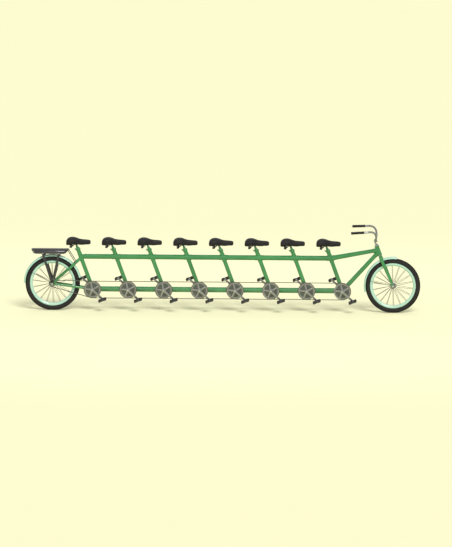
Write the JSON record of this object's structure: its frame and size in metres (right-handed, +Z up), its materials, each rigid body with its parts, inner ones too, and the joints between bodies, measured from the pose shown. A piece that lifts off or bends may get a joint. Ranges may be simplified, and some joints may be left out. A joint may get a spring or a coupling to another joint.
{
  "type": "tandem bicycle",
  "caption": "Long pedal cycle for many riders in line, with one steered wheel, linked cranks, sprung saddles, mudguards and a rear rack.",
  "frame": {"origin": "on the ground, in the middle of the overall length and on the centre plane", "axes": "+X is the direction of travel, +Y is the riders' left and +Z is up"},
  "size_m": [4.939, 0.6308, 1.0609],
  "materials": {
    "green_enamel": "glossy stove enamel",
    "mint_enamel": "glossy enamel",
    "black_enamel": "satin powder coat",
    "grey_alloy": "brushed and lightly worn",
    "chain_steel": "oiled",
    "fastener_steel": "plated",
    "spoke_steel": "blackened",
    "tyre_rubber": "matt",
    "saddle_cover": "grained, satin",
    "grip_rubber": "matt",
    "pedal_rubber": "matt"
  },
  "bodies": {
    "frame": {"frame": "green_enamel", "drive_chain": "chain_steel", "timing_chains": "chain_steel", "rear_axle": "fastener_steel", "rear_mudguard": "mint_enamel", "rear_rack": "black_enamel"},
    "fork": {"fork": "green_enamel", "stem": "grey_alloy", "handlebar": "grey_alloy", "grip_right": "grip_rubber", "grip_left": "grip_rubber", "front_axle": "fastener_steel", "front_mudguard": "mint_enamel"},
    "front_wheel": {"front_tyre": "tyre_rubber", "front_rim": "mint_enamel", "front_hub": "spoke_steel"},
    "rear_wheel": {"rear_tyre": "tyre_rubber", "rear_rim": "mint_enamel", "rear_hub": "spoke_steel"},
    "rear_sprocket": {"rear_sprocket": "chain_steel"},
    "crank_1": {"crankset_1": "grey_alloy"},
    "pedal_right_1": {"pedal_right_1": "pedal_rubber"},
    "pedal_left_1": {"pedal_left_1": "pedal_rubber"},
    "seat_1": {"saddle_1": "saddle_cover", "seat_post_1": "green_enamel"},
    "crank_2": {"crankset_2": "grey_alloy"},
    "pedal_right_2": {"pedal_right_2": "pedal_rubber"},
    "pedal_left_2": {"pedal_left_2": "pedal_rubber"},
    "seat_2": {"saddle_2": "saddle_cover", "seat_post_2": "green_enamel"},
    "crank_3": {"crankset_3": "grey_alloy"},
    "pedal_right_3": {"pedal_right_3": "pedal_rubber"},
    "pedal_left_3": {"pedal_left_3": "pedal_rubber"},
    "seat_3": {"saddle_3": "saddle_cover", "seat_post_3": "green_enamel"},
    "crank_4": {"crankset_4": "grey_alloy"},
    "pedal_right_4": {"pedal_right_4": "pedal_rubber"},
    "pedal_left_4": {"pedal_left_4": "pedal_rubber"},
    "seat_4": {"saddle_4": "saddle_cover", "seat_post_4": "green_enamel"},
    "crank_5": {"crankset_5": "grey_alloy"},
    "pedal_right_5": {"pedal_right_5": "pedal_rubber"},
    "pedal_left_5": {"pedal_left_5": "pedal_rubber"},
    "seat_5": {"saddle_5": "saddle_cover", "seat_post_5": "green_enamel"},
    "crank_6": {"crankset_6": "grey_alloy"},
    "pedal_right_6": {"pedal_right_6": "pedal_rubber"},
    "pedal_left_6": {"pedal_left_6": "pedal_rubber"},
    "seat_6": {"saddle_6": "saddle_cover", "seat_post_6": "green_enamel"},
    "crank_7": {"crankset_7": "grey_alloy"},
    "pedal_right_7": {"pedal_right_7": "pedal_rubber"},
    "pedal_left_7": {"pedal_left_7": "pedal_rubber"},
    "seat_7": {"saddle_7": "saddle_cover", "seat_post_7": "green_enamel"},
    "crank_8": {"crankset_8": "grey_alloy"},
    "pedal_right_8": {"pedal_right_8": "pedal_rubber"},
    "pedal_left_8": {"pedal_left_8": "pedal_rubber"},
    "seat_8": {"saddle_8": "saddle_cover", "seat_post_8": "green_enamel"}
  },
  "joints": [
    {"name": "steering", "type": "hinge", "parent": "frame", "child": "fork", "pos_m": [1.95268, 0, 0.76236], "axis": [-0.342, 0, 0.9397], "range_deg": [-45, 45]},
    {"name": "front_wheel_spin", "type": "hinge", "parent": "fork", "child": "front_wheel", "pos_m": [2.13, 0, 0.3395], "axis": [0, 1, 0], "continuous": true},
    {"name": "rear_wheel_spin", "type": "hinge", "parent": "frame", "child": "rear_wheel", "pos_m": [-2.1065, 0, 0.3395], "axis": [0, 1, 0], "continuous": true},
    {"name": "crank_spin_1", "type": "hinge", "parent": "frame", "child": "crank_1", "pos_m": [1.504, 0, 0.269], "axis": [0, 1, 0], "continuous": true},
    {"name": "crank_spin_2", "type": "hinge", "parent": "frame", "child": "crank_2", "pos_m": [1.0595, 0, 0.269], "axis": [0, 1, 0], "continuous": true},
    {"name": "crank_spin_3", "type": "hinge", "parent": "frame", "child": "crank_3", "pos_m": [0.615, 0, 0.269], "axis": [0, 1, 0], "continuous": true},
    {"name": "crank_spin_4", "type": "hinge", "parent": "frame", "child": "crank_4", "pos_m": [0.1705, 0, 0.269], "axis": [0, 1, 0], "continuous": true},
    {"name": "crank_spin_5", "type": "hinge", "parent": "frame", "child": "crank_5", "pos_m": [-0.274, 0, 0.269], "axis": [0, 1, 0], "continuous": true},
    {"name": "crank_spin_6", "type": "hinge", "parent": "frame", "child": "crank_6", "pos_m": [-0.7185, 0, 0.269], "axis": [0, 1, 0], "continuous": true},
    {"name": "crank_spin_7", "type": "hinge", "parent": "frame", "child": "crank_7", "pos_m": [-1.163, 0, 0.269], "axis": [0, 1, 0], "continuous": true},
    {"name": "crank_spin_8", "type": "hinge", "parent": "frame", "child": "crank_8", "pos_m": [-1.6075, 0, 0.269], "axis": [0, 1, 0], "continuous": true},
    {"name": "pedal_spin_right_1", "type": "hinge", "parent": "crank_1", "child": "pedal_right_1", "pos_m": [1.63405, -0.143, 0.1519], "axis": [0, 1, 0], "continuous": true},
    {"name": "pedal_spin_left_1", "type": "hinge", "parent": "crank_1", "child": "pedal_left_1", "pos_m": [1.37395, 0.143, 0.3861], "axis": [0, 1, 0], "continuous": true},
    {"name": "pedal_spin_right_2", "type": "hinge", "parent": "crank_2", "child": "pedal_right_2", "pos_m": [1.18955, -0.143, 0.1519], "axis": [0, 1, 0], "continuous": true},
    {"name": "pedal_spin_left_2", "type": "hinge", "parent": "crank_2", "child": "pedal_left_2", "pos_m": [0.92945, 0.143, 0.3861], "axis": [0, 1, 0], "continuous": true},
    {"name": "pedal_spin_right_3", "type": "hinge", "parent": "crank_3", "child": "pedal_right_3", "pos_m": [0.74505, -0.143, 0.1519], "axis": [0, 1, 0], "continuous": true},
    {"name": "pedal_spin_left_3", "type": "hinge", "parent": "crank_3", "child": "pedal_left_3", "pos_m": [0.48495, 0.143, 0.3861], "axis": [0, 1, 0], "continuous": true},
    {"name": "pedal_spin_right_4", "type": "hinge", "parent": "crank_4", "child": "pedal_right_4", "pos_m": [0.30055, -0.143, 0.1519], "axis": [0, 1, 0], "continuous": true},
    {"name": "pedal_spin_left_4", "type": "hinge", "parent": "crank_4", "child": "pedal_left_4", "pos_m": [0.04045, 0.143, 0.3861], "axis": [0, 1, 0], "continuous": true},
    {"name": "pedal_spin_right_5", "type": "hinge", "parent": "crank_5", "child": "pedal_right_5", "pos_m": [-0.14395, -0.143, 0.1519], "axis": [0, 1, 0], "continuous": true},
    {"name": "pedal_spin_left_5", "type": "hinge", "parent": "crank_5", "child": "pedal_left_5", "pos_m": [-0.40405, 0.143, 0.3861], "axis": [0, 1, 0], "continuous": true},
    {"name": "pedal_spin_right_6", "type": "hinge", "parent": "crank_6", "child": "pedal_right_6", "pos_m": [-0.58845, -0.143, 0.1519], "axis": [0, 1, 0], "continuous": true},
    {"name": "pedal_spin_left_6", "type": "hinge", "parent": "crank_6", "child": "pedal_left_6", "pos_m": [-0.84855, 0.143, 0.3861], "axis": [0, 1, 0], "continuous": true},
    {"name": "pedal_spin_right_7", "type": "hinge", "parent": "crank_7", "child": "pedal_right_7", "pos_m": [-1.03295, -0.143, 0.1519], "axis": [0, 1, 0], "continuous": true},
    {"name": "pedal_spin_left_7", "type": "hinge", "parent": "crank_7", "child": "pedal_left_7", "pos_m": [-1.29305, 0.143, 0.3861], "axis": [0, 1, 0], "continuous": true},
    {"name": "pedal_spin_right_8", "type": "hinge", "parent": "crank_8", "child": "pedal_right_8", "pos_m": [-1.47745, -0.143, 0.1519], "axis": [0, 1, 0], "continuous": true},
    {"name": "pedal_spin_left_8", "type": "hinge", "parent": "crank_8", "child": "pedal_left_8", "pos_m": [-1.73755, 0.143, 0.3861], "axis": [0, 1, 0], "continuous": true},
    {"name": "seat_height_1", "type": "slide", "parent": "frame", "child": "seat_1", "axis": [-0.342, 0, 0.9397], "range_m": [-0.03, 0.12]},
    {"name": "seat_height_2", "type": "slide", "parent": "frame", "child": "seat_2", "axis": [-0.342, 0, 0.9397], "range_m": [-0.03, 0.12]},
    {"name": "seat_height_3", "type": "slide", "parent": "frame", "child": "seat_3", "axis": [-0.342, 0, 0.9397], "range_m": [-0.03, 0.12]},
    {"name": "seat_height_4", "type": "slide", "parent": "frame", "child": "seat_4", "axis": [-0.342, 0, 0.9397], "range_m": [-0.03, 0.12]},
    {"name": "seat_height_5", "type": "slide", "parent": "frame", "child": "seat_5", "axis": [-0.342, 0, 0.9397], "range_m": [-0.03, 0.12]},
    {"name": "seat_height_6", "type": "slide", "parent": "frame", "child": "seat_6", "axis": [-0.342, 0, 0.9397], "range_m": [-0.03, 0.12]},
    {"name": "seat_height_7", "type": "slide", "parent": "frame", "child": "seat_7", "axis": [-0.342, 0, 0.9397], "range_m": [-0.03, 0.12]},
    {"name": "seat_height_8", "type": "slide", "parent": "frame", "child": "seat_8", "axis": [-0.342, 0, 0.9397], "range_m": [-0.03, 0.12]},
    {"name": "rear_sprocket_spin", "type": "hinge", "parent": "frame", "child": "rear_sprocket", "pos_m": [-2.1065, 0, 0.3395], "axis": [0, 1, 0], "continuous": true}
  ],
  "couplings": [
    {"joint": "crank_spin_2", "follows": "crank_spin_1", "ratio": 1},
    {"joint": "crank_spin_3", "follows": "crank_spin_1", "ratio": 1},
    {"joint": "crank_spin_4", "follows": "crank_spin_1", "ratio": 1},
    {"joint": "crank_spin_5", "follows": "crank_spin_1", "ratio": 1},
    {"joint": "crank_spin_6", "follows": "crank_spin_1", "ratio": 1},
    {"joint": "crank_spin_7", "follows": "crank_spin_1", "ratio": 1},
    {"joint": "crank_spin_8", "follows": "crank_spin_1", "ratio": 1},
    {"joint": "rear_sprocket_spin", "follows": "crank_spin_1", "ratio": 2.6}
  ]
}
